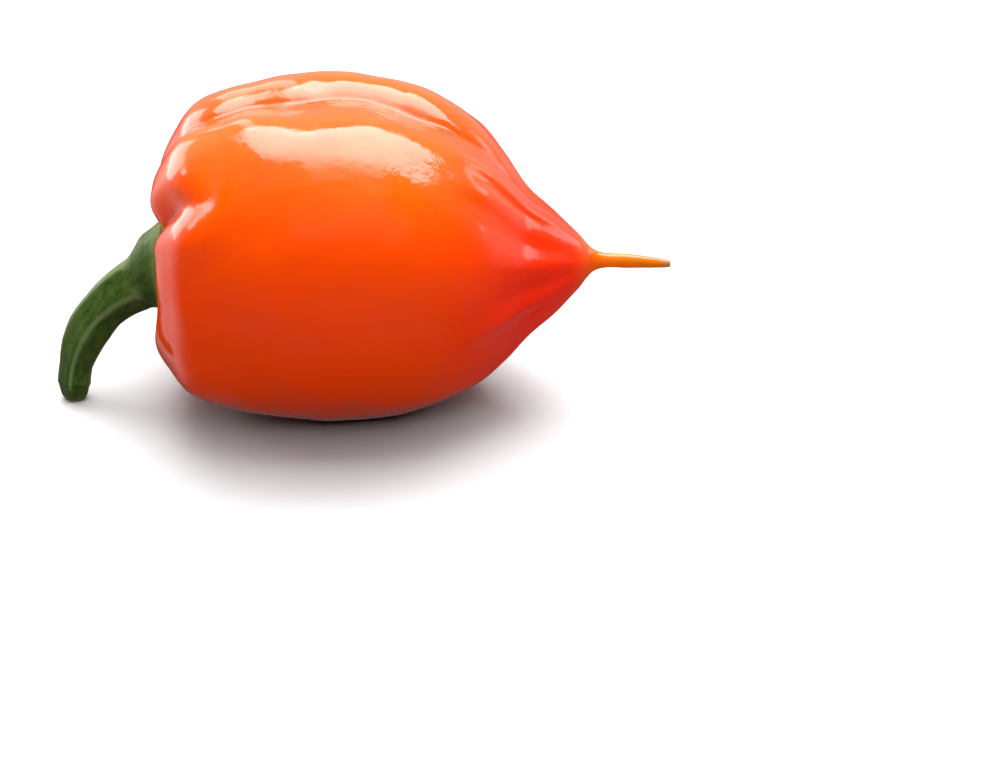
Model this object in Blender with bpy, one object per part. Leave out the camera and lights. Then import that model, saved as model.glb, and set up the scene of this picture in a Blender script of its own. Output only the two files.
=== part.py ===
"""A whole orange habanero chilli pepper, picked with its stem and lying on its side.

Three pieces: the fruit, whose lobed shoulders run down to a thin tail; the calyx, the green collar
seated between the shoulders; and the stem, ridged and bent down to the surface. Lengths are in metres,
+Z is up and +X runs from the stem end to the tail. The origin is below the middle of the bounding box,
on the surface that the pepper lies on.

Run with: blender --background --python part.py
"""

import math
from collections import namedtuple

import bmesh
import bpy
from mathutils import Matrix, Vector

MM = 0.001

# Fruit
BODY_LENGTH = 43.8 * MM  # from the crest of the shoulders to the root of the tail
BELLY_RADIUS = 17.6 * MM  # at its widest
BELLY_RISE = 1.4 * MM  # how far the belly's middle is above the line from calyx to tail
SHOULDER_RADIUS = 9.4 * MM  # ring on which the shoulders stand furthest out
TAIL_LENGTH = 7.1 * MM
TAIL_ROOT_RADIUS = 0.95 * MM
TAIL_END_RADIUS = 0.38 * MM
TAIL_DROOP = 0.4 * MM  # how far the tail's end hangs below the fruit's axis
REST_FLAT = 0.25 * MM  # how far the lobes that it lies on are pressed flat

# Calyx
CALYX_RADIUS = 5.2 * MM
CALYX_DROP = 0.6 * MM  # its middle, below the fruit's axis
CALYX_RIM = 1.0 * MM  # thickness of its rim
CALYX_HEIGHT = 4.0 * MM  # from its underside to the stem, along the middle
CALYX_TILT = math.radians(30)  # slope of the line through it, downwards
NECK_RADIUS = 2.8 * MM  # where it meets the stem
CALYX_POINTS = 5  # sepals, which scallop its rim
SCALLOP = 0.035  # share of the radius lost between two sepals

# Stem
STEM_LENGTH = 14.3 * MM
STEM_TURN = math.radians(64)  # how much further it bends down, to the cut end
STEM_MID_RADIUS = 2.2 * MM
STEM_TIP_RADIUS = 1.65 * MM
STEM_CUT_RADIUS = 1.05 * MM  # the cut face inside its worn edge
STEM_LEAN = math.radians(-7)  # turn of the bend about the fruit's axis, towards -Y if negative
RIDGES = 5  # along the stem
RIDGE_HEIGHT = 0.06  # share of the radius
RIDGE_ANGLE = math.radians(8)  # of the first ridge, from the -Y side towards the outside of the bend

# Fits
SEAT_DEPTH = 1.3 * MM  # the calyx's seat, below the crest of the shoulders
SEAT_RADIUS = CALYX_RADIUS + 0.45 * MM
JOINT_GAP = 0.3 * MM  # between two pieces that touch

# Mesh density
FRUIT_SEGMENTS = 60
RINGS_PER_STATION = 3
GREEN_SEGMENTS = 30

# The fruit from shoulder to tail: shares of the body's length, of the belly's radius and of its rise
OUTLINE = [
    (0.030, 0.685, 0.60),
    (0.080, 0.840, 0.75),
    (0.167, 0.925, 0.85),
    (0.280, 0.980, 0.95),
    (0.420, 1.000, 1.00),
    (0.560, 0.950, 0.95),
    (0.660, 0.855, 0.90),
    (0.735, 0.725, 0.72),
    (0.790, 0.570, 0.35),
    (0.843, 0.410, 0.00),
    (0.905, 0.285, -0.10),
    (0.955, 0.165, -0.05),
]

# A furrow between two lobes, or a ridge where its depth is negative. Its angle in degrees is 0 towards -Y
# and 90 on top; its depth is a share of the radius. Both are given at the shoulder, behind it, on the belly
# and at the neck. below and above are its widths in degrees, towards smaller and larger angles. recess is
# how far it sets the shoulder back, over spread degrees on each side.
Furrow = namedtuple("Furrow", "angles depths below above recess spread")
FURROWS = [
    Furrow((95, 93, 97, 88), (0.125, 0.120, 0.115, 0.115), 23, 8, 0.9 * MM, 14),  # on top, full length
    Furrow((44, 41, 41, 41), (0.080, 0.000, 0.000, 0.000), 11, 10, 1.9 * MM, 10),  # a notch by the calyx
    Furrow((13, 15, 16, 16), (-0.065, -0.020, 0.000, 0.000), 22, 22, 0.9 * MM, 22),  # shoulders by the notch
    Furrow((62, 62, 62, 62), (-0.080, -0.010, 0.000, 0.000), 16, 16, 0.4 * MM, 15),
    Furrow((72, 72, 72, 72), (0.000, -0.030, 0.000, 0.000), 14, 14, 0, 14),
    Furrow((-23, -26, -34, -30), (0.030, 0.040, 0.035, 0.050), 22, 20, 0.3 * MM, 20),
    Furrow((-88, -89, -91, -86), (0.115, 0.090, 0.065, 0.050), 14, 16, 1.2 * MM, 14),  # on which it lies
    Furrow((-141, -144, -150, -138), (0.100, 0.070, 0.045, 0.050), 16, 14, 1.2 * MM, 14),
    Furrow((160, 159, 156, 150), (0.125, 0.105, 0.085, 0.070), 12, 18, 1.4 * MM, 14),
    Furrow((39, 39, 39, 39), (0.000, 0.000, 0.000, 0.045), 9, 9, 0, 9),  # hollows and ridges at the neck
    Furrow((68, 68, 68, 70), (0.000, 0.000, 0.000, -0.050), 5, 5, 0, 5),
    Furrow((20, 20, 20, 23), (0.000, 0.000, 0.000, -0.050), 8, 8, 0, 8),
    Furrow((-13, -13, -13, -13), (0.000, 0.000, 0.000, -0.045), 7, 7, 0, 7),
    Furrow((-59, -59, -59, -59), (0.000, 0.000, 0.000, -0.055), 8, 8, 0, 8),
    Furrow((-111, -111, -111, -111), (0.000, 0.000, 0.000, -0.050), 8, 8, 0, 8),
    Furrow((-167, -167, -167, -167), (0.000, 0.000, 0.000, -0.055), 7, 7, 0, 7),
    Furrow((124, 124, 124, 124), (0.000, 0.000, 0.000, -0.055), 6, 6, 0, 6),
]
FURROW_STATIONS = (0.04, 0.16, 0.42, 0.80)  # shares of the body's length at which the four values hold
SHOULDER_SHARE = 0.12  # share of the body's length over which the recesses end
SMOOTH_TAIL = 0.2  # share of the belly's radius below which the furrows and swells fade

# Swells that keep the sections from being round: (share of radius, waves round, half waves along, phase)
SWELLS = [(0.012, 2, 0.7, 0.6), (0.009, 3, -1.1, 2.1), (0.006, 4, 1.6, 4.0), (0.004, 5, 2.3, 1.0)]


def blend(low, high, value):
    """0 below low, 1 above high, and smooth in between."""
    share = min(max((value - low) / (high - low), 0.0), 1.0)
    return share * share * (3 - 2 * share)


def on_spline(points, place):
    """The point at place, counted in points, on a smooth curve through them."""
    start = min(int(place), len(points) - 2)
    u = place - start
    a, b, c, d = (Vector(points[min(max(start + k, 0), len(points) - 1)]) for k in (-1, 0, 1, 2))
    return 0.5 * (2 * b + (c - a) * u + (2 * a - 5 * b + 4 * c - d) * u**2 + (3 * b - a - 3 * c + d) * u**3)


def at_stations(values, along):
    """The value at a share of the body's length, from those at FURROW_STATIONS."""
    value = values[0]
    for k in range(1, len(values)):
        value += (values[k] - values[k - 1]) * blend(FURROW_STATIONS[k - 1], FURROW_STATIONS[k], along)
    return value


def fruit_outline():
    """(distance along the axis, radius, rise) from the middle of the seat to the end of the tail."""
    seat = [(SEAT_DEPTH, share * SEAT_RADIUS, -CALYX_DROP) for share in (0, 0.5, 1)]
    rim_radius = 0.5 * (SEAT_RADIUS + SHOULDER_RADIUS)
    shoulder = [
        (0.35 * SEAT_DEPTH, rim_radius, -0.5 * CALYX_DROP),
        (0, SHOULDER_RADIUS, 0.2 * BELLY_RISE),
    ]
    body = [(BODY_LENGTH * x, BELLY_RADIUS * r, BELLY_RISE * rise) for x, r, rise in OUTLINE]
    end = BODY_LENGTH + TAIL_LENGTH
    middle_radius = 0.55 * TAIL_ROOT_RADIUS + 0.45 * TAIL_END_RADIUS
    tail = [
        (BODY_LENGTH, TAIL_ROOT_RADIUS, 0),
        (BODY_LENGTH + 0.5 * TAIL_LENGTH, middle_radius, -0.3 * TAIL_DROOP),
        (end, TAIL_END_RADIUS, -TAIL_DROOP),
        (end, 0, -TAIL_DROOP),
    ]
    return seat + shoulder + body + tail


def furrow_at(angle, along):
    """(share of the radius lost, setback of the shoulder) at an angle and a share of the body's length."""
    lost = 0.0
    setback = 0.0
    for furrow in FURROWS:
        centre = at_stations(furrow.angles, along)
        off = (math.degrees(angle) - centre + 180) % 360 - 180
        width = furrow.below if off < 0 else furrow.above
        lost += at_stations(furrow.depths, along) * math.exp(-((off / width) ** 2))
        setback += furrow.recess * math.exp(-((off / furrow.spread) ** 2))
    return lost, setback


def fruit_point(place, angle):
    """A point of the fruit's skin: place is counted in points of the outline."""
    x, radius, rise = on_spline(fruit_outline(), place)
    radius = max(radius, 0.0)
    along = x / BODY_LENGTH
    if along < SHOULDER_SHARE:
        on_lobes = blend(SEAT_RADIUS, SHOULDER_RADIUS, radius)
        rolled = blend(SEAT_RADIUS, 0.5 * (SEAT_RADIUS + SHOULDER_RADIUS), radius)
    else:
        on_lobes = blend(0, SMOOTH_TAIL * BELLY_RADIUS, radius)
        rolled = 0.0
    lost, setback = furrow_at(angle, along)
    swell = sum(a * math.sin(n * angle + k * math.pi * along + p) for a, n, k, p in SWELLS)
    radius *= 1 + on_lobes * (swell - lost)
    x += rolled * setback * (1 - blend(0, SHOULDER_SHARE, along))
    return Vector((x, -radius * math.cos(angle), radius * math.sin(angle) + rise))


def stem_frame(distance):
    """(centre, the -Y side, outward of the bend) on the line through calyx and stem.

    The line leaves the middle of the calyx's underside straight, then bends down along the stem.
    The sections turn from upright at the underside to square with the line at the neck.
    """
    start = CALYX_HEIGHT + JOINT_GAP
    straight = min(distance, start)
    heading = CALYX_TILT + max(distance - start, 0.0) / STEM_LENGTH * STEM_TURN
    bend_radius = STEM_LENGTH / STEM_TURN
    centre = Vector((SEAT_DEPTH - JOINT_GAP, 0, -CALYX_DROP))
    centre.x -= straight * math.cos(CALYX_TILT)
    centre.z -= straight * math.sin(CALYX_TILT)
    centre.x -= bend_radius * (math.sin(heading) - math.sin(CALYX_TILT))
    centre.z -= bend_radius * (math.cos(CALYX_TILT) - math.cos(heading))
    facing = heading * blend(0, start, distance)
    outward = Vector((-math.sin(facing), 0, math.cos(facing)))
    side = Vector((0, -1, 0))
    lean = Matrix.Rotation(STEM_LEAN * blend(0, STEM_LENGTH, -centre.z), 3, "X")
    return lean @ centre, lean @ side, lean @ outward


def on_stem(distance, radius, angle):
    """The point at that radius round the line through calyx and stem. Angle 0 is on the -Y side."""
    centre, side, outward = stem_frame(distance)
    return centre + radius * (math.cos(angle) * side + math.sin(angle) * outward)


def ridged(radius, angle, share):
    """A radius raised along the ridges."""
    return radius * (1 + share * RIDGE_HEIGHT * math.cos(RIDGES * (angle - RIDGE_ANGLE)))


def calyx_outline():
    """(distance along the line, radius) from the middle of the underside to the middle of the neck."""
    under_rim = 0.93 * CALYX_RADIUS
    halfway = 0.5 * (CALYX_RADIUS + NECK_RADIUS)
    return [
        (0, 0),
        (0, 0.5 * CALYX_RADIUS),
        (0, under_rim),
        (0.5 * CALYX_RIM, CALYX_RADIUS),
        (CALYX_RIM, under_rim),
        (0.42 * CALYX_HEIGHT, halfway - 0.15 * CALYX_RIM),
        (0.68 * CALYX_HEIGHT, 1.12 * NECK_RADIUS),
        (CALYX_HEIGHT, NECK_RADIUS),
        (CALYX_HEIGHT, 0.5 * NECK_RADIUS),
        (CALYX_HEIGHT, 0),
    ]


def calyx_point(place, angle):
    """A point of the calyx: a scalloped rim that flares out of the neck."""
    distance, radius = straight_between(calyx_outline(), place)
    at_rim = blend(NECK_RADIUS, CALYX_RADIUS, radius)
    scallop = 0.5 * SCALLOP * (1 - math.cos(CALYX_POINTS * (angle - RIDGE_ANGLE)))
    on_neck = blend(0.4 * CALYX_HEIGHT, CALYX_HEIGHT, distance)
    return on_stem(distance, ridged(radius * (1 - at_rim * scallop), angle, on_neck), angle)


def stem_outline():
    """(distance along the line, radius) from the middle of the face on the calyx to that of the cut end."""
    start = CALYX_HEIGHT + JOINT_GAP
    end = start + STEM_LENGTH
    worn = STEM_TIP_RADIUS - STEM_CUT_RADIUS
    return [
        (start, 0),
        (start, 0.5 * NECK_RADIUS),
        (start, NECK_RADIUS),
        (start + 0.12 * STEM_LENGTH, 0.5 * (NECK_RADIUS + STEM_MID_RADIUS)),
        (start + 0.28 * STEM_LENGTH, STEM_MID_RADIUS),
        (start + 0.45 * STEM_LENGTH, STEM_MID_RADIUS),
        (start + 0.60 * STEM_LENGTH, 0.6 * STEM_MID_RADIUS + 0.4 * STEM_TIP_RADIUS),
        (start + 0.75 * STEM_LENGTH, STEM_TIP_RADIUS),
        (start + 0.88 * STEM_LENGTH, STEM_TIP_RADIUS),
        (end - worn, STEM_TIP_RADIUS),
        (end, STEM_CUT_RADIUS),
        (end, 0),
    ]


def stem_point(place, angle):
    """A point of the stem's ridged skin."""
    distance, radius = straight_between(stem_outline(), place)
    return on_stem(distance, ridged(radius, angle, 1), angle)


def straight_between(points, place):
    """The point at place, counted in points, on the straight runs between them."""
    start = min(int(place), len(points) - 2)
    return Vector(points[start]).lerp(Vector(points[start + 1]), place - start)


def wrap(name, stations, segments, point, material, parent):
    """A closed skin: a UV sphere whose rings are moved along an outline of that many stations."""
    bm = bmesh.new()
    rings = (stations - 1) * RINGS_PER_STATION
    bmesh.ops.create_uvsphere(bm, u_segments=segments, v_segments=rings, radius=1)
    for vertex in bm.verts:
        x, y, z = vertex.co
        place = (stations - 1) * math.acos(max(-1.0, min(1.0, z))) / math.pi
        vertex.co = point(round(place * RINGS_PER_STATION) / RINGS_PER_STATION, math.atan2(y, x))
    if bm.calc_volume(signed=True) < 0:
        bmesh.ops.reverse_faces(bm, faces=bm.faces)
    mesh = bpy.data.meshes.new(name)
    bm.to_mesh(mesh)
    bm.free()
    mesh.shade_smooth()
    mesh.materials.append(material)
    piece = bpy.data.objects.new(name, mesh)
    parent.users_collection[0].objects.link(piece)
    piece.parent = parent
    return piece


def press_flat(piece):
    """Cuts the underside level where the piece lies, and closes it with flat faces."""
    bm = bmesh.new()
    bm.from_mesh(piece.data)
    level = min(v.co.z for v in bm.verts) + REST_FLAT
    geometry = bm.verts[:] + bm.edges[:] + bm.faces[:]
    bmesh.ops.bisect_plane(bm, geom=geometry, plane_co=(0, 0, level), plane_no=(0, 0, -1), clear_outer=True)
    rim = [e for e in bm.edges if e.is_boundary]
    flats = bmesh.ops.holes_fill(bm, edges=rim)["faces"]
    for face in flats:
        face.smooth = False
    bm.to_mesh(piece.data)
    bm.free()


def principled(name, color, roughness, coat):
    """A plain glossy or matt material."""
    material = bpy.data.materials.new(name)
    material.use_nodes = True
    shader = material.node_tree.nodes["Principled BSDF"]
    shader.inputs["Base Color"].default_value = (*color, 1)
    shader.inputs["Roughness"].default_value = roughness
    shader.inputs["Metallic"].default_value = 0.0
    shader.inputs["Coat Weight"].default_value = coat
    return material


def stand_on_origin(parent, pieces):
    """Moves the empty so that the pieces' bounding box stands on the origin by the middle of its base."""
    corners = [v.co for piece in pieces for v in piece.data.vertices]
    low = Vector(min(c[i] for c in corners) for i in range(3))
    high = Vector(max(c[i] for c in corners) for i in range(3))
    parent.location = (-0.5 * (low.x + high.x), -0.5 * (low.y + high.y), -low.z)


def main():
    for thing in list(bpy.data.objects):
        bpy.data.objects.remove(thing)
    collection = bpy.data.collections.new("chilli_pepper")
    bpy.context.scene.collection.children.link(collection)
    pepper = bpy.data.objects.new("pepper_axis", None)
    collection.objects.link(pepper)

    skin = principled("fruit_skin", (0.93, 0.13, 0.006), 0.16, 0.6)
    collar = principled("calyx_green", (0.10, 0.19, 0.045), 0.5, 0.0)
    stalk = principled("stem_green", (0.07, 0.14, 0.035), 0.48, 0.0)

    fruit = wrap("fruit", len(fruit_outline()), FRUIT_SEGMENTS, fruit_point, skin, pepper)
    press_flat(fruit)
    calyx = wrap("calyx", len(calyx_outline()), GREEN_SEGMENTS, calyx_point, collar, pepper)
    stem = wrap("stem", len(stem_outline()), GREEN_SEGMENTS, stem_point, stalk, pepper)
    stand_on_origin(pepper, [fruit, calyx, stem])


main()
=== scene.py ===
"""The looks of a whole orange habanero chilli pepper, lying on its side.

The fruit, the calyx and the stem are rebuilt finely on the CAD's axis: +X runs from the stem end to the
tail. Angles round the fruit are 0 towards -Y and 90 degrees on top. Lengths are in metres.
"""

import math

import bmesh
import bpy
import numpy as np
from mathutils import Matrix, Vector


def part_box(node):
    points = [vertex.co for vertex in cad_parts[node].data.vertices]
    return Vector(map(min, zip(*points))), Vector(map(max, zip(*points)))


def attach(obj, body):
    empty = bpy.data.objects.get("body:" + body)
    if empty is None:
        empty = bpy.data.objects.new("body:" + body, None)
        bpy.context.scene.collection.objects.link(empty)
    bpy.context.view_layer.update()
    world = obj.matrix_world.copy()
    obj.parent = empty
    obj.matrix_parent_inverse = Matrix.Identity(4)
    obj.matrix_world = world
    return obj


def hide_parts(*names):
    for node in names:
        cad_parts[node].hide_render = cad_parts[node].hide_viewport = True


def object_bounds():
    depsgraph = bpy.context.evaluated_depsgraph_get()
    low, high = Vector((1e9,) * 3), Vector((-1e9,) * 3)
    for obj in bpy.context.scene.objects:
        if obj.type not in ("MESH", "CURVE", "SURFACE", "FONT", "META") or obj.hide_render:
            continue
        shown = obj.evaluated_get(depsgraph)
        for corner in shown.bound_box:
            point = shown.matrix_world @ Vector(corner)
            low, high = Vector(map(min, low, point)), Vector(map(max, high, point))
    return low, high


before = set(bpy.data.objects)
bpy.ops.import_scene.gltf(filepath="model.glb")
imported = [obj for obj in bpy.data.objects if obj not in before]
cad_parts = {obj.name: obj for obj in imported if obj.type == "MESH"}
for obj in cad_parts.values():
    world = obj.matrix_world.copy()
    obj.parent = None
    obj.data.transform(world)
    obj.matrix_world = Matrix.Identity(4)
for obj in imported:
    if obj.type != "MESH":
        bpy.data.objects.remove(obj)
cad_low, cad_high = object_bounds()

MM = 0.001

# Fruit: the CAD's sizes
BODY_LENGTH = 43.8 * MM
BELLY_RADIUS = 17.6 * MM
BELLY_RISE = 1.4 * MM
SHOULDER_RADIUS = 9.4 * MM
TAIL_LENGTH = 7.1 * MM
TAIL_ROOT_RADIUS = 0.95 * MM
TAIL_END_RADIUS = 0.38 * MM
TAIL_DROOP = 0.4 * MM
SEAT_DEPTH = 1.3 * MM
SEAT_RADIUS = 5.65 * MM

# Calyx and stem: the CAD's sizes
CALYX_RADIUS = 5.2 * MM
CALYX_DROP = 0.6 * MM
CALYX_RIM = 1.0 * MM
CALYX_HEIGHT = 4.0 * MM
CALYX_TILT = math.radians(30)
NECK_RADIUS = 2.8 * MM
STEM_LENGTH = 14.3 * MM
STEM_TURN = math.radians(64)
STEM_MID_RADIUS = 2.2 * MM
STEM_TIP_RADIUS = 1.65 * MM
STEM_LEAN = math.radians(-7)
JOINT_GAP = 0.3 * MM
STEM_ROOT = 2.4 * MM  # how far the stem starts inside the calyx
STEM_START = CALYX_HEIGHT + JOINT_GAP  # where its free length starts, along the line from the calyx's foot
STEM_END = STEM_START + STEM_LENGTH

# How finely the skins are rebuilt
FRUIT_RINGS = 13  # in each run of the outline
FRUIT_SPOKES = 360
CALYX_RINGS = 8
STEM_RINGS = 10
GREEN_SPOKES = 180

SHOULDER_END = 0.12  # share of the body's length that the shoulders take
SHOULDER_INNER_RADIUS = 0.5 * (SEAT_RADIUS + SHOULDER_RADIUS)  # halfway up from the seat to the crest
FADE_RADIUS = 0.2 * BELLY_RADIUS  # below this the lobes fade out, towards the tail

# The body's outline: shares of its length, of the belly's radius and of the belly's rise
OUTLINE = [
    (0.030, 0.685, 0.60),
    (0.080, 0.840, 0.75),
    (0.167, 0.925, 0.85),
    (0.280, 0.980, 0.95),
    (0.420, 1.000, 1.00),
    (0.560, 0.950, 0.95),
    (0.660, 0.855, 0.90),
    (0.735, 0.725, 0.72),
    (0.790, 0.570, 0.35),
    (0.843, 0.410, 0.00),
    (0.905, 0.285, -0.10),
    (0.955, 0.165, -0.05),
]

# The axis's start, in the middle of the fruit's stem end, found from the CAD's boxes
calyx_low, calyx_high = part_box("calyx")
AXIS = Vector(
    (
        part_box("fruit")[1].x - BODY_LENGTH - TAIL_LENGTH,
        0.5 * (calyx_low.y + calyx_high.y),
        0.5 * (calyx_low.z + calyx_high.z) + CALYX_DROP,
    )
)


def smooth(low, high, value):
    """0 up to low, 1 from high on, and a smooth step between them."""
    share = np.clip((value - low) / (high - low), 0.0, 1.0)
    return share * share * (3 - 2 * share)


def curve(points, places):
    """A smooth curve through rows of points, read at places counted in points."""
    points = np.asarray(points, float)
    start = np.minimum(places.astype(int), len(points) - 2)
    u = (places - start)[:, None]
    last = len(points) - 1
    a, b, c, d = (points[np.clip(start + k, 0, last)] for k in (-1, 0, 1, 2))
    return 0.5 * (2 * b + (c - a) * u + (2 * a - 5 * b + 4 * c - d) * u**2 + (3 * b - a - 3 * c + d) * u**3)


def keyed(keys, along):
    """Values given at shares of the body's length, joined smoothly."""
    places, values = zip(*keys)
    spots = np.interp(along, places, np.arange(len(places)))
    return curve([[v] for v in values], np.atleast_1d(spots))[:, 0].reshape(np.shape(along))


def turned_from(centre, degrees):
    """How far an angle is from a centre, between -180 and 180 degrees."""
    return (degrees - centre + 180) % 360 - 180


def rounded(off, width):
    """1 in the middle, falling off smoothly on both sides."""
    return np.exp(-((off / width) ** 2))


def peaked(off, width):
    """1 in the middle, with a sharp point there."""
    return np.exp(-np.abs(off) / width)


def scalloped(off, width):
    """1 in the middle, between two round lobes that are each as wide as the width."""
    return np.clip(1 - (np.hypot(off, 1.5) - 1.5) / width, 0, 1) ** 2


# Creases between lobes: their angle and their depth, a share of the radius, at shares of the body's length;
# their width in degrees below (towards smaller angles) and above; how far they set the shoulder back, in mm,
# and over how many degrees.
CREASES = [
    dict(  # between the top lobe and the front one, the full length
        angle=[(0.00, 99), (0.07, 95), (0.13, 91.5), (0.22, 95), (0.33, 93), (0.44, 97.5), (0.52, 94.5),
               (0.60, 89), (0.68, 87.5), (0.76, 88), (0.90, 92)],
        depth=[(0.00, 0.12), (0.06, 0.13), (0.20, 0.115), (0.40, 0.115), (0.60, 0.13), (0.75, 0.12),
               (0.88, 0.05)],
        below=[(0, 18), (0.35, 22), (0.52, 29), (0.7, 38)], above=9, shapes=(rounded, peaked),
        recess=0.9, spread=14,
    ),
    dict(  # the notch by the calyx, which soon ends
        angle=[(0.00, 45), (0.05, 43.5), (0.12, 41.5), (0.2, 41)],
        depth=[(0.00, 0.07), (0.04, 0.08), (0.08, 0.08), (0.12, 0.04), (0.18, 0.0)],
        below=[(0, 14), (1, 14)], above=13, shapes=(scalloped, scalloped),
        recess=1.9, spread=17, spread_shape=scalloped,
    ),
    dict(
        angle=[(0.0, -22), (0.15, -26), (0.4, -34), (0.8, -30)],
        depth=[(0.02, 0.01), (0.2, 0.03), (0.4, 0.035), (0.8, 0.05), (0.95, 0.02)],
        below=[(0, 22), (1, 22)], above=20, recess=0.1, spread=20,
    ),
    dict(
        angle=[(0.0, -88), (0.4, -91), (0.8, -86)],
        depth=[(0.02, 0.12), (0.4, 0.065), (0.8, 0.05), (0.95, 0.02)],
        below=[(0, 14), (1, 14)], above=16, recess=1.2, spread=14,
    ),
    dict(
        angle=[(0.0, -140), (0.4, -150), (0.8, -138)],
        depth=[(0.02, 0.11), (0.4, 0.045), (0.8, 0.05), (0.95, 0.02)],
        below=[(0, 16), (1, 16)], above=14, recess=1.2, spread=14,
    ),
    dict(
        angle=[(0.0, 160), (0.4, 156), (0.8, 150)],
        depth=[(0.02, 0.13), (0.4, 0.085), (0.8, 0.07), (0.95, 0.02)],
        below=[(0, 12), (1, 12)], above=18, recess=1.4, spread=14,
    ),
]

# Places where the shoulder stands back without a crease: angle, how far in mm, over how many degrees, and the
# share of the body's length where it ends.
SETBACKS = [
    (26, 0.5, 14, 0.28),
    (68, 0.1, 15, SHOULDER_END),
    (0, 0.8, 24, 0.28),
]

# Ridges, and hollows where the height is negative: their angle at both ends; where they start, are highest and
# end, in shares of the body's length; their height as a share of the radius; their width in degrees.
FOLDS = [
    # on the shoulders
    (22, 40, -0.03, 0.12, 0.27, 0.028, 9.0),
    (6, 10, -0.02, 0.09, 0.30, -0.032, 24.0),
    (60, 62, -0.02, 0.08, 0.26, -0.020, 16.0),
    (72, 72, 0.02, 0.14, 0.38, 0.030, 14.0),
    # gathering at the neck
    (71, 66, 0.38, 0.62, 0.86, 0.045, 13.0),
    (67, 71, 0.66, 0.80, 0.97, 0.050, 3.6),
    (52, 54, 0.66, 0.755, 0.84, 0.035, 6.0),
    (61, 63, 0.70, 0.80, 0.93, -0.018, 4.0),
    (38, 40, 0.68, 0.83, 0.98, -0.050, 9.0),
    (20, 24, 0.72, 0.86, 0.99, 0.060, 8.0),
    (0, 4, 0.74, 0.87, 0.99, -0.050, 7.0),
    (-14, -12, 0.66, 0.80, 0.97, 0.050, 7.0),
    (-58, -60, 0.66, 0.82, 0.98, 0.060, 8.0),
    (-112, -110, 0.66, 0.82, 0.98, 0.055, 8.0),
    (-165, -168, 0.68, 0.84, 0.98, 0.060, 7.0),
    (178, 176, 0.70, 0.86, 0.98, -0.050, 7.0),
    (128, 122, 0.66, 0.80, 0.98, 0.060, 6.0),
    (107, 106, 0.74, 0.86, 0.98, 0.050, 5.0),
    # fine lines over the belly
    (80, 80, 0.50, 0.58, 0.68, 0.0035, 1.6),
    (76, 77, 0.52, 0.61, 0.70, 0.003, 1.4),
    (84, 83, 0.46, 0.60, 0.72, 0.003, 1.4),
]

# Broad swells: height as a share of the radius, lobes round, half turns along the body, phase
SWELLS = [
    (0.012, 2, 0.7, 0.6),
    (0.009, 3, -1.1, 2.1),
    (0.006, 4, 1.6, 4.0),
    (0.004, 5, 2.3, 1.0),
]

# Fine ripples: height, waves round, half waves along the body, phase, then the second wave that bends them:
# how strongly, waves round, turn along the body, phase.
RIPPLES = [
    (0.0018, 9.0, 5.2, 0.0, 2.0, 3, 4, 0.0),
    (0.0018, 0.0, 13.0, 0.7, 2.2, 3, 0, 1.3),
    (0.0010, 0.0, 23.0, 2.9, 2.6, 5, 0, 0.4),
    (0.0008, 21.0, -9.0, 1.7, 0.0, 0, 0, 0.0),
]
NECK_RIPPLE = (0.0008, 44, 0, 0.0, 2.5, 2, 7, 0.0)
NECK = (0.68, 0.84, 0.92, 1.0)  # where its ripple starts, is full, starts to fade and ends

# A small dent in the top lobe: share of the body's length, length, angle, width in degrees, depth
DENT = (0.363, 0.018, 100.5, 3.0, 0.012)


def ripple(angles, along, height, count, halves, phase, bend, bend_count, bend_turn, bend_phase):
    """A wave over the skin, with crests that a second, wider wave bends."""
    bending = bend * np.sin(bend_count * angles + bend_turn * along + bend_phase)
    return height * np.sin(count * angles + halves * along * math.pi + bending + phase)


def fruit_outline():
    """Rows of distance along, radius and rise, from the middle of the seat to the tip of the tail."""
    seat = [(SEAT_DEPTH, share * SEAT_RADIUS, -CALYX_DROP) for share in (0, 0.5, 1)]
    shoulder = [
        (0.35 * SEAT_DEPTH, SHOULDER_INNER_RADIUS, -0.5 * CALYX_DROP),
        (0, SHOULDER_RADIUS, 0.2 * BELLY_RISE),
    ]
    body = [(BODY_LENGTH * x, BELLY_RADIUS * r, BELLY_RISE * rise) for x, r, rise in OUTLINE]
    end = BODY_LENGTH + TAIL_LENGTH
    tail = [
        (BODY_LENGTH, TAIL_ROOT_RADIUS, 0),
        (BODY_LENGTH + 0.5 * TAIL_LENGTH, 0.55 * TAIL_ROOT_RADIUS + 0.45 * TAIL_END_RADIUS, -0.3 * TAIL_DROOP),
        (end, TAIL_END_RADIUS, -TAIL_DROOP),
        (end, 0, -TAIL_DROOP),
    ]
    return seat + shoulder + body + tail


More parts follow.
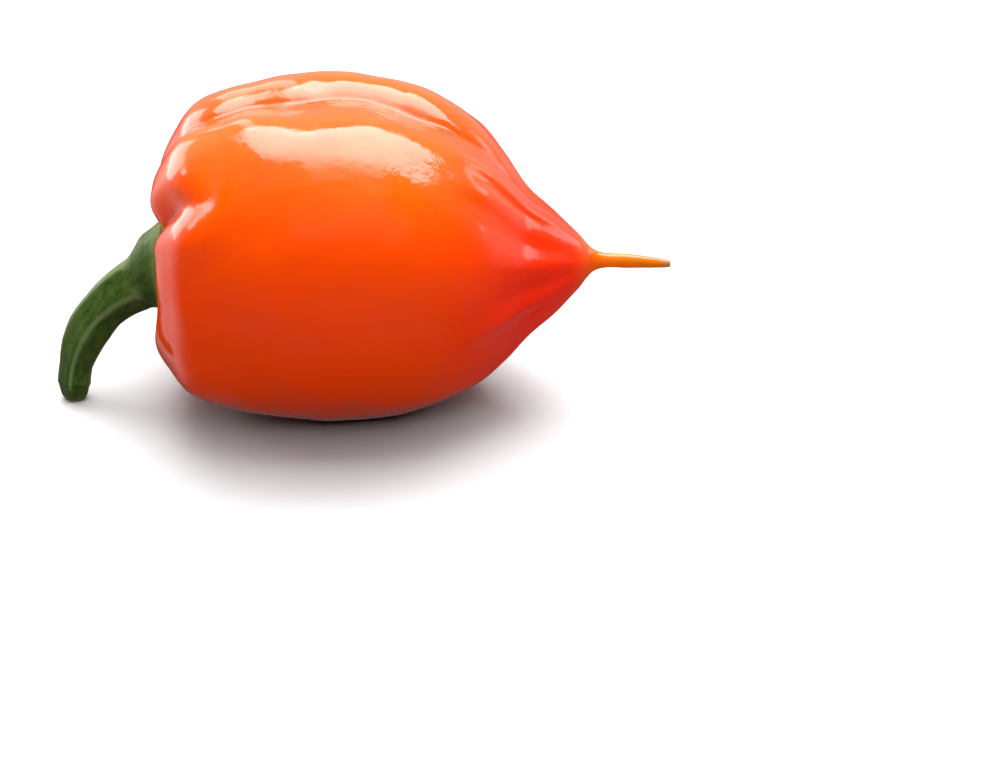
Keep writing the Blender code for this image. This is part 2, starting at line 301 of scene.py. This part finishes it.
def fruit_points(places, angles):
    """The skin's points, rings along and angles round, with the values that its colours follow: the share of
    the body's length, and how deep in a crease a point lies."""
    line = curve(fruit_outline(), places)
    x, radius, rise = line[:, :1], np.maximum(line[:, 1:2], 0), line[:, 2:]
    along = x / BODY_LENGTH
    near = smooth(SEAT_RADIUS, SHOULDER_RADIUS, radius)
    far = smooth(0, FADE_RADIUS, radius)
    lobed = np.where(along < SHOULDER_END, near, far)
    degrees = np.degrees(angles)[None, :]
    fading = 1 - smooth(0, SHOULDER_END, along)
    lost = 0
    setback = 0
    for crease in CREASES:
        off = turned_from(keyed(crease["angle"], along), degrees)
        shape_below, shape_above = crease.get("shapes", (rounded, rounded))
        below = shape_below(off, keyed(crease["below"], along))
        above = shape_above(off, crease["above"])
        lost = lost + keyed(crease["depth"], along) * np.where(off < 0, below, above)
        spread = crease.get("spread_shape", rounded)
        setback = setback + crease["recess"] * MM * spread(off, crease["spread"]) * fading
    for angle, recess, width, finish in SETBACKS:
        fading = 1 - smooth(0, finish, along)
        setback = setback + recess * MM * rounded(turned_from(angle, degrees), width) * fading
    for first, last, begin, middle, finish, height, width in FOLDS:
        full = smooth(begin, middle, along) * (1 - smooth(middle, finish, along))
        centre = first + (last - first) * smooth(begin, finish, along)
        lost = lost - height * full * rounded(turned_from(centre, degrees), width)
    waves = 0
    for height, count, halves, phase in SWELLS:
        waves = waves + height * np.sin(count * angles + halves * math.pi * along + phase)
    for row in RIPPLES:
        waves = waves + ripple(angles, along, *row)
    gathered = smooth(*NECK[:2], along) * (1 - smooth(*NECK[2:], along))
    waves = waves + gathered * ripple(angles, along, *NECK_RIPPLE)
    spot, length, angle, width, depth = DENT
    dent = depth * rounded(along - spot, length) * rounded(turned_from(angle, degrees), width)
    rolling = smooth(SEAT_RADIUS, SHOULDER_INNER_RADIUS, radius)
    x = x + np.where(along < SHOULDER_END, rolling, far) * setback
    radius = radius * (1 + lobed * (waves - lost - dent))
    grid = np.stack([x, -radius * np.cos(angles), radius * np.sin(angles) + rise], -1)
    return grid, along + 0 * radius, lost * lobed


def skin(name, grid, values):
    """A closed mesh from rings of points; the first and the last ring are single points."""
    rings, around = grid.shape[:2]
    inner = grid[1:-1].reshape(-1, 3)
    points = np.vstack([grid[0, :1], inner, grid[-1, :1]])
    last = len(points) - 1
    ring = np.arange(rings - 3)[:, None]
    spoke = np.arange(around)[None, :]
    following = (spoke + 1) % around
    quads = np.stack(
        [
            1 + ring * around + spoke,
            1 + ring * around + following,
            1 + (ring + 1) * around + following,
            1 + (ring + 1) * around + spoke,
        ],
        -1,
    ).reshape(-1, 4)
    spoke, following = spoke[0], following[0]
    first = np.stack([0 * spoke, 1 + following, 1 + spoke], -1)
    base = 1 + (rings - 3) * around
    final = np.stack([0 * spoke + last, base + spoke, base + following], -1)
    mesh = bpy.data.meshes.new(name)
    mesh.from_pydata(points.tolist(), [], quads.tolist() + first.tolist() + final.tolist())
    mesh.shade_smooth()
    for key, value in values.items():
        kind, field, width = ("FLOAT", "value", 1) if value.ndim == 2 else ("FLOAT_VECTOR", "vector", 3)
        value = value.reshape(rings, around, width)
        data = np.concatenate([value[0, :1], value[1:-1].reshape(-1, width), value[-1, :1]])
        layer = mesh.attributes.new(key, kind, "POINT")
        layer.data.foreach_set(field, data.astype(np.float32).ravel())
    mesh.update()
    piece = bpy.data.objects.new(name, mesh)
    bpy.context.scene.collection.objects.link(piece)
    piece.location = AXIS
    return piece


def settle(piece):
    """Moves the mesh to the piece's place, flattens what would sink in the floor and turns the faces out."""
    mesh = piece.data
    mesh.transform(Matrix.Translation(piece.location))
    piece.location = (0, 0, 0)
    co = np.zeros(len(mesh.vertices) * 3)
    mesh.vertices.foreach_get("co", co)
    co = co.reshape(-1, 3)
    co[:, 2] = np.maximum(co[:, 2], cad_low.z)
    mesh.vertices.foreach_set("co", co.ravel())
    shell = bmesh.new()
    shell.from_mesh(mesh)
    if shell.calc_volume(signed=True) < 0:
        bmesh.ops.reverse_faces(shell, faces=shell.faces)
    shell.to_mesh(mesh)
    shell.free()
    mesh.update()
    return piece


# ---------------------------------------------------------------- fruit
runs = len(fruit_outline()) - 1
rings = np.linspace(0, runs, runs * FRUIT_RINGS + 1)
fruit_angles = np.linspace(0, 2 * math.pi, FRUIT_SPOKES + 1)[:-1]
grid, along, crease = fruit_points(rings, fruit_angles)
fruit = settle(skin("fruit_skin", grid, {"along": along, "crease": crease}))


# ---------------------------------------------------------------- calyx and stem
def line_frame(distance):
    """The line through calyx and stem, straight and then bent: its centre, its side and its outer side."""
    straight = min(distance, STEM_START)
    heading = CALYX_TILT + max(distance - STEM_START, 0.0) / STEM_LENGTH * STEM_TURN
    bend = STEM_LENGTH / STEM_TURN
    centre = Vector((SEAT_DEPTH - JOINT_GAP, 0, -CALYX_DROP))
    centre.x -= straight * math.cos(CALYX_TILT)
    centre.z -= straight * math.sin(CALYX_TILT)
    centre.x -= bend * (math.sin(heading) - math.sin(CALYX_TILT))
    centre.z -= bend * (math.cos(CALYX_TILT) - math.cos(heading))
    facing = heading * float(smooth(0, STEM_START, distance))
    lean = Matrix.Rotation(STEM_LEAN * float(smooth(0, STEM_LENGTH, -centre.z)), 3, "X")
    outward = lean @ Vector((-math.sin(facing), 0, math.cos(facing)))
    side = lean @ Vector((0, -1, 0))
    return lean @ centre, side, outward


def on_line(distances, radii, angles):
    """A grid of points round the line through calyx and stem."""
    grid = np.zeros((len(distances), len(angles), 3))
    for k, distance in enumerate(distances):
        centre, side, outward = (np.array(v) for v in line_frame(float(distance)))
        r = radii[k][:, None] * np.ones((len(angles), 1))
        grid[k] = centre + r * (np.cos(angles)[:, None] * side + np.sin(angles)[:, None] * outward)
    return grid


RIDGES = 5
RIDGE_ANGLE = -3  # of the first ridge, in degrees
RIDGE_TWIST = 14  # along the stem, in degrees
RIDGE_HEIGHT = 0.06  # share of the radius, up and down
RIM_SCALLOP = 0.035  # share of the rim's radius that is lost between the ridges
KNOB_HEIGHT = 0.6 * MM  # the bulge on the calyx's outer side
KNOB_PLACE = 2.0 * MM
KNOB_WIDTH = 0.75 * MM
GRAIN_LENGTH = 4 * MM
green_angles = np.linspace(0, 2 * math.pi, GREEN_SPOKES + 1)[:-1]


def ridge_wave(angles, share, sharp=1.0):
    """1 on the ridges and 0 between them; they turn a little along the stem. Above 1, sharp narrows them."""
    turned = angles[None, :] - np.radians(RIDGE_ANGLE + RIDGE_TWIST * share)
    return (0.5 + 0.5 * np.cos(RIDGES * turned)) ** sharp


def between(points, count):
    """Rows of points joined by straight runs, with count steps in each."""
    points = np.asarray(points, float)
    corners = np.arange(len(points))
    places = np.linspace(0, corners[-1], corners[-1] * count + 1)
    return np.stack([np.interp(places, corners, column) for column in points.T], -1)


def flow_of(distances, angles):
    """Places for the grain, drawn out along the line so that it runs lengthways."""
    lengths = (distances / GRAIN_LENGTH)[:, None] + 0 * angles[None, :]
    return np.stack([2 * np.cos(angles) + 0 * lengths, 2 * np.sin(angles) + 0 * lengths, lengths], -1)


# Distance along the line and radius
calyx_line = between(
    [
        (0, 0),
        (0, 0.5 * CALYX_RADIUS),
        (0, 0.93 * CALYX_RADIUS),
        (0.5 * CALYX_RIM, CALYX_RADIUS),
        (CALYX_RIM, 0.93 * CALYX_RADIUS),
        (1.68 * MM, 3.9 * MM),
        (2.5 * MM, 3.25 * MM),
        (3.3 * MM, 2.86 * MM),
        (CALYX_HEIGHT, 0.95 * NECK_RADIUS),
        (CALYX_HEIGHT, 0.5 * NECK_RADIUS),
        (CALYX_HEIGHT, 0),
    ],
    CALYX_RINGS,
)
at_rim = smooth(NECK_RADIUS, CALYX_RADIUS, calyx_line[:, 1])[:, None]
on_neck = smooth(0.4 * CALYX_HEIGHT, CALYX_HEIGHT, calyx_line[:, 0])[:, None]
ridge = ridge_wave(green_angles, np.zeros((len(calyx_line), 1)))
scalloped_rim = 1 - at_rim * RIM_SCALLOP * (1 - ridge)
radii = calyx_line[:, 1:] * scalloped_rim * (1 + on_neck * RIDGE_HEIGHT * (2 * ridge - 1))
knob = rounded(calyx_line[:, :1] - KNOB_PLACE, KNOB_WIDTH) * np.clip(np.sin(green_angles), 0, 1)[None, :]
on_side = calyx_line[:, 1:] > 0.6 * NECK_RADIUS
radii = radii + KNOB_HEIGHT * knob * on_side
values = {
    "rim": at_rim + 0 * radii,
    "ridge": on_neck * ridge,
    "flow": flow_of(calyx_line[:, 0], green_angles),
}
calyx = settle(skin("calyx_skin", on_line(calyx_line[:, 0], radii, green_angles), values))

# Distance along the line and radius
stem_line = between(
    [
        (STEM_START - STEM_ROOT, 0),
        (STEM_START - STEM_ROOT, 0.5 * NECK_RADIUS),
        (STEM_START - STEM_ROOT, 0.97 * NECK_RADIUS),
        (STEM_START, 0.96 * NECK_RADIUS),
        (STEM_START + 0.12 * STEM_LENGTH, 2.45 * MM),
        (STEM_START + 0.28 * STEM_LENGTH, STEM_MID_RADIUS),
        (STEM_START + 0.45 * STEM_LENGTH, STEM_MID_RADIUS),
        (STEM_START + 0.60 * STEM_LENGTH, 1.98 * MM),
        (STEM_START + 0.75 * STEM_LENGTH, STEM_TIP_RADIUS),
        (STEM_START + 0.88 * STEM_LENGTH, STEM_TIP_RADIUS),
        (STEM_END - 1.7 * MM, 0.97 * STEM_TIP_RADIUS),
        (STEM_END - 0.5 * MM, 1.3 * MM),
        (STEM_END, 1.0 * MM),
        (STEM_END, 0),
    ],
    STEM_RINGS,
)
stem_share = (stem_line[:, :1] - STEM_START) / STEM_LENGTH
along_stem = np.clip(stem_share, 0, 1)
radii = stem_line[:, 1:] * (1 + RIDGE_HEIGHT * (2 * ridge_wave(green_angles, along_stem) - 1))
on_side = stem_line[:, 1:] > 0.9 * STEM_TIP_RADIUS
values = {
    "share": stem_share + 0 * radii,
    "ridge": on_side * ridge_wave(green_angles, along_stem, 5.0),
    "flow": flow_of(stem_line[:, 0], green_angles),
}
stem = settle(skin("stem_skin", on_line(stem_line[:, 0], radii, green_angles), values))


# ---------------------------------------------------------------- materials
class Nodes:
    """Short calls for the nodes of a tree."""

    def __init__(self, tree):
        self.tree = tree

    def add(self, kind):
        return self.tree.nodes.new(kind)

    def plug(self, socket, value):
        """Links a socket to another one, or sets its number, colour or vector."""
        if isinstance(value, bpy.types.NodeSocket):
            self.tree.links.new(value, socket)
        else:
            socket.default_value = value

    def axes(self, vector):
        """A vector's X, Y and Z, by name."""
        node = self.add("ShaderNodeSeparateXYZ")
        self.plug(node.inputs[0], vector)
        return node.outputs

    def fit(self, value, low, high, to_low=0.0, to_high=1.0):
        """Takes low..high to to_low..to_high, smoothly and held at both ends."""
        node = self.add("ShaderNodeMapRange")
        node.interpolation_type = "SMOOTHSTEP"
        ends = (("From Min", low), ("From Max", high), ("To Min", to_low), ("To Max", to_high))
        for name, number in ends:
            node.inputs[name].default_value = number
        self.plug(node.inputs["Value"], value)
        return node.outputs["Result"]

    def maths(self, kind, *values):
        node = self.add("ShaderNodeMath")
        node.operation = kind
        for socket, value in zip(node.inputs, values):
            self.plug(socket, value)
        return node.outputs[0]


class Paint(Nodes):
    """A Principled material and short calls for the nodes that feed it."""

    def __init__(self, name):
        self.material = bpy.data.materials.new(name)
        self.material.use_nodes = True
        super().__init__(self.material.node_tree)
        self.shader = self.tree.nodes["Principled BSDF"]

    def set(self, name, value):
        self.plug(self.shader.inputs[name], value)

    def kept(self, name):
        """The values kept on the mesh's points under a name."""
        node = self.add("ShaderNodeAttribute")
        node.attribute_name = name
        return node.outputs

    def place(self):
        return self.add("ShaderNodeTexCoord").outputs["Object"]

    def noise(self, vector, scale, detail=2.0, roughness=0.5):
        node = self.add("ShaderNodeTexNoise")
        self.plug(node.inputs["Vector"], vector)
        node.inputs["Scale"].default_value = scale
        node.inputs["Detail"].default_value = detail
        node.inputs["Roughness"].default_value = roughness
        return node.outputs["Fac"]

    def cells(self, vector, scale):
        """Distance to the middle of the nearest cell."""
        node = self.add("ShaderNodeTexVoronoi")
        self.plug(node.inputs["Vector"], vector)
        node.inputs["Scale"].default_value = scale
        return node.outputs["Distance"]

    def mix(self, share, first, second):
        """A colour between two colours."""
        node = self.add("ShaderNodeMix")
        node.data_type = "RGBA"
        self.plug(node.inputs["Factor"], share)
        for socket, color in ((node.inputs[6], first), (node.inputs[7], second)):
            self.plug(socket, color if isinstance(color, bpy.types.NodeSocket) else (*color, 1))
        return node.outputs[2]

    def layered(self, base, *layers):
        """A base colour under layers, each of which is a share and a colour."""
        for share, color in layers:
            base = self.mix(share, base, color)
        return base

    def bump(self, height, distance, strength=1.0, below=None):
        node = self.add("ShaderNodeBump")
        node.inputs["Strength"].default_value = strength
        node.inputs["Distance"].default_value = distance
        self.plug(node.inputs["Height"], height)
        if below is not None:
            self.plug(node.inputs["Normal"], below)
        return node.outputs["Normal"]


ORANGE = (0.66, 0.060, 0.001)
YELLOW_ORANGE = (0.68, 0.084, 0.001)
RED_ORANGE = (0.61, 0.043, 0.001)
# painted shade: a darker red-orange for the creases
CREASE_SHADE_ORANGE = (0.60, 0.038, 0.001)
# painted shade: a darker red-orange for the lower half
LOW_SHADE_ORANGE = (0.61, 0.032, 0.001)
# the neck's own redder tone, also used as painted shade on its underside
NECK_RED_AND_SHADE = (0.60, 0.014, 0.002)
TAIL_ROOT_ORANGE = (0.62, 0.105, 0.001)
TAIL_ORANGE = (0.50, 0.10, 0.002)
TAIL_END_BROWN = (0.30, 0.11, 0.035)

DARK_GREEN = (0.018, 0.039, 0.004)
LEAF_GREEN = (0.035, 0.071, 0.008)
BLOTCH_GREEN = (0.058, 0.074, 0.012)
SPECK_GREEN = (0.062, 0.096, 0.020)
RIDGE_GREEN = (0.115, 0.160, 0.060)
RIM_GREEN = (0.12, 0.15, 0.016)
CUT_RIM_GREEN = (0.060, 0.075, 0.020)
CUT_END_GREEN = (0.30, 0.30, 0.14)

FLOOR_TONE = (0.40, 0.40, 0.405)


def orange_skin():
    paint = Paint("orange_skin")
    place = paint.place()
    height = paint.axes(place)["Z"]
    along = paint.kept("along")["Fac"]
    crease = paint.kept("crease")["Fac"]
    clouds = paint.noise(place, 110, 3)
    mottle = paint.noise(place, 900, 3, 0.6)
    # painted shade: the colour turns darker and redder towards the bottom
    low = paint.fit(height, AXIS.z + 17 * MM, AXIS.z + 2 * MM, 0.0, 0.9)
    # painted shade: the neck's red is laid on more strongly towards the underside
    under = paint.fit(height, AXIS.z + 12 * MM, AXIS.z - 2 * MM, 0.25, 1.0)
    color = paint.layered(
        ORANGE,
        (paint.fit(clouds, 0.35, 0.7, 0.0, 0.5), YELLOW_ORANGE),
        (paint.fit(mottle, 0.4, 0.75, 0.0, 0.35), RED_ORANGE),
        # painted shade: darker red-orange deep in the creases
        (paint.fit(crease, 0.03, 0.13, 0.0, 0.45), CREASE_SHADE_ORANGE),
        (low, LOW_SHADE_ORANGE),
        (paint.maths("MULTIPLY", paint.fit(along, 0.60, 0.84), under), NECK_RED_AND_SHADE),
        (paint.fit(along, 0.93, 1.04), TAIL_ROOT_ORANGE),
        (paint.fit(along, 1.04, 1.12), TAIL_ORANGE),
        (paint.fit(along, 1.142, 1.16), TAIL_END_BROWN),
    )
    paint.set("Base Color", color)
    paint.set("IOR", 1.5)
    paint.set("Roughness", paint.fit(paint.noise(place, 260, 3), 0.3, 0.7, 0.08, 0.14))
    dimples = paint.bump(paint.noise(place, 1100), 0.03 * MM)
    pores = paint.fit(paint.cells(place, 1500), 0.0, 0.25)
    paint.set("Normal", paint.bump(pores, 0.006 * MM, below=dimples))
    return paint.material


def green_skin(name, *ends):
    """Ridged green skin; each of its ends is a value on the points, where it begins and is full, how far it
    covers and its colour."""
    paint = Paint(name)
    place = paint.place()
    flow = paint.kept("flow")["Vector"]
    ridge = paint.kept("ridge")["Fac"]
    streaks = paint.noise(flow, 2.2, 3, 0.6)
    fine = paint.noise(place, 1600, 3, 0.6)
    blotches = paint.noise(place, 420, 3)
    color = paint.layered(
        DARK_GREEN,
        (paint.fit(streaks, 0.35, 0.68), LEAF_GREEN),
        (paint.fit(blotches, 0.42, 0.72, 0.0, 0.55), BLOTCH_GREEN),
        (paint.fit(fine, 0.5, 0.72, 0.0, 0.5), SPECK_GREEN),
        (paint.fit(ridge, 0.35, 1.0, 0.0, 0.6), RIDGE_GREEN),
    )
    for kept, begin, full, cover, end_color in ends:
        color = paint.mix(paint.fit(paint.kept(kept)["Fac"], begin, full, 0.0, cover), color, end_color)
    paint.set("Base Color", color)
    paint.set("IOR", 1.45)
    paint.set("Specular IOR Level", 0.16)
    paint.set("Roughness", paint.fit(fine, 0.3, 0.75, 0.36, 0.52))
    grain = paint.bump(paint.noise(flow, 9.0, 3, 0.6), 0.12 * MM, 0.6)
    paint.set("Normal", paint.bump(fine, 0.05 * MM, 0.6, grain))
    return paint.material


def pale_floor():
    paint = Paint("pale_floor")
    paint.set("Base Color", (*FLOOR_TONE, 1))
    paint.set("Roughness", 0.7)
    return paint.material


fruit.data.materials.append(orange_skin())
calyx.data.materials.append(green_skin("calyx_green", ("rim", 0.65, 1.0, 0.5, RIM_GREEN)))
cut_rim = ("share", 0.955, 0.975, 1.0, CUT_RIM_GREEN)
cut_end = ("share", 0.992, 1.0, 1.0, CUT_END_GREEN)
stem.data.materials.append(green_skin("stem_green", cut_rim, cut_end))

for piece, node, slot in (
    (fruit, "fruit", "fruit_skin"),
    (calyx, "calyx", "calyx_green"),
    (stem, "stem", "stem_green"),
):
    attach(piece, "root")
    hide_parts(node)

# ---------------------------------------------------------------- stage
FLOOR_SIZE = 8
bpy.ops.mesh.primitive_plane_add(size=FLOOR_SIZE, location=(0, 0, cad_low.z))
floor = bpy.context.object
floor.name = "floor"
floor.data.materials.append(pale_floor())
floor.visible_glossy = False  # its reflection would lay a pale veil over the lower half of the skin

scene = bpy.context.scene
scene.view_settings.view_transform = "Standard"


def area_light(name, place, target, width, height, power):
    """A rectangular lamp that faces a target; its place and sides are in metres, its power in watts."""
    data = bpy.data.lights.new(name, "AREA")
    data.shape = "RECTANGLE"
    data.size = width
    data.size_y = height
    data.energy = power
    lamp = bpy.data.objects.new(name, data)
    scene.collection.objects.link(lamp)
    lamp.location = place
    lamp.rotation_mode = "QUATERNION"
    lamp.rotation_quaternion = (Vector(target) - Vector(place)).to_track_quat("-Z", "Y")
    lamp.visible_camera = False
    return lamp


def shade_lamp(lamp, *sides):
    """Gives a lamp's face its bright middle: for each side, a world axis, two places and the stops between."""
    lamp.data.use_nodes = True
    face = Nodes(lamp.data.node_tree)
    place = face.axes(face.add("ShaderNodeNewGeometry").outputs["Position"])
    strength = 1.0
    for axis, low, high, stops in sides:
        share = face.add("ShaderNodeMapRange")
        share.inputs["From Min"].default_value = low
        share.inputs["From Max"].default_value = high
        face.plug(share.inputs["Value"], place[axis])
        ramp = face.add("ShaderNodeValToRGB")
        ramp.color_ramp.interpolation = "EASE"
        while len(ramp.color_ramp.elements) < len(stops):
            ramp.color_ramp.elements.new(0.5)
        for element, (position, tone) in zip(ramp.color_ramp.elements, stops):
            element.position = position
            element.color = (tone, tone, tone, 1)
        face.plug(ramp.inputs["Fac"], share.outputs["Result"])
        strength = face.maths("MULTIPLY", strength, ramp.outputs["Color"])
    face.plug(face.tree.nodes["Emission"].inputs["Strength"], strength)


# The main light faces straight down, turned so that its edge runs across the lobes
SOFTBOX_TURN = Matrix.Rotation(math.radians(37), 3, "Z").to_quaternion()
softbox = area_light("softbox", (0.042, 0.194, 0.40), (0.042, 0.194, 0.0), 0.44, 0.44, 4.7)
softbox.rotation_quaternion = SOFTBOX_TURN @ softbox.rotation_quaternion
shade_lamp(
    softbox,
    ("Y", -0.06, 0.10, [(0, 0.1), (1, 1.0)]),
    ("X", -0.24, -0.13, [(0, 0.05), (1, 1.0)]),
)

# Smaller lights, each for one of the highlights on the shoulders, the crest and the neck
SHOULDERS = (-0.02, 0, 0.015)
area_light("side_box", (-0.43, 0.34, 0.15), SHOULDERS, 0.32, 0.36, 1.15)
area_light("back_card", (-0.19, 0.66, 0.46), (-0.01, 0, 0.02), 0.16, 0.54, 0.6)
area_light("right_card", (0.38, 0.234, 0.18), (0.02, 0, 0.015), 0.21, 0.15, 0.18)
SOFT_SIDES = [(0, 0.0), (0.35, 1.0), (0.65, 1.0), (1, 0.0)]
left_card = area_light("left_card", (-0.45, 0.09, 0.26), SHOULDERS, 0.16, 0.16, 0.45)
shade_lamp(
    left_card,
    ("Y", 0.01, 0.17, SOFT_SIDES),
    ("Z", 0.19, 0.33, SOFT_SIDES),
)

# Even light that makes no highlight of its own
fill = area_light("fill", (0.12, -0.5, 0.9), (0, 0, 0.0), 1.0, 1.0, 12.0)
top_fill = area_light("top_fill", (0.05, 0.25, 1.0), (0.05, 0.25, 0.0), 1.0, 1.0, 20.0)
for lamp in (fill, top_fill):
    lamp.visible_glossy = False

# The surroundings: pale behind the pepper, dim in front of it and below, and bright far to the left
world = bpy.data.worlds.new("studio")
scene.world = world
world.use_nodes = True
sky = Nodes(world.node_tree)
facing = sky.axes(sky.add("ShaderNodeTexCoord").outputs["Generated"])
back = sky.fit(facing["Y"], -0.1, 0.6, 0.012, 0.6)
below = sky.fit(facing["Z"], -0.35, 0.0, 0.15, 1.0)
left = sky.fit(facing["X"], -0.35, -0.8)
behind = sky.fit(facing["Y"], -0.25, 0.9)
strength = sky.maths("MULTIPLY_ADD", left, behind, sky.maths("MULTIPLY", back, below))
background = world.node_tree.nodes["Background"]
background.inputs["Color"].default_value = (1, 1, 1, 1)
sky.plug(background.inputs["Strength"], strength)

# ---------------------------------------------------------------- camera
ELEVATION = math.radians(28)
LENS = 100.0
SENSOR = 36.0
VIEW_WIDTH = 98.4 * MM  # what the picture spans at the fruit's axis
AIM_ALONG = 33.3 * MM  # from the fruit's stem end towards its tail
AIM_DOWN = 12.0 * MM  # below the fruit's axis, in the picture
camera_back = Vector((0, -math.cos(ELEVATION), math.sin(ELEVATION)))
camera_up = Vector((0, math.sin(ELEVATION), math.cos(ELEVATION)))
aim = AXIS + Vector((AIM_ALONG, 0, 0)) - AIM_DOWN * camera_up
data = bpy.data.cameras.new("camera")
data.lens = LENS
data.sensor_width = SENSOR
data.clip_start = 0.01
camera = bpy.data.objects.new("camera", data)
scene.collection.objects.link(camera)
camera.location = aim + camera_back * (VIEW_WIDTH * LENS / SENSOR)
camera.rotation_mode = "QUATERNION"
camera.rotation_quaternion = (-camera_back).to_track_quat("-Z", "Y")
scene.camera = camera
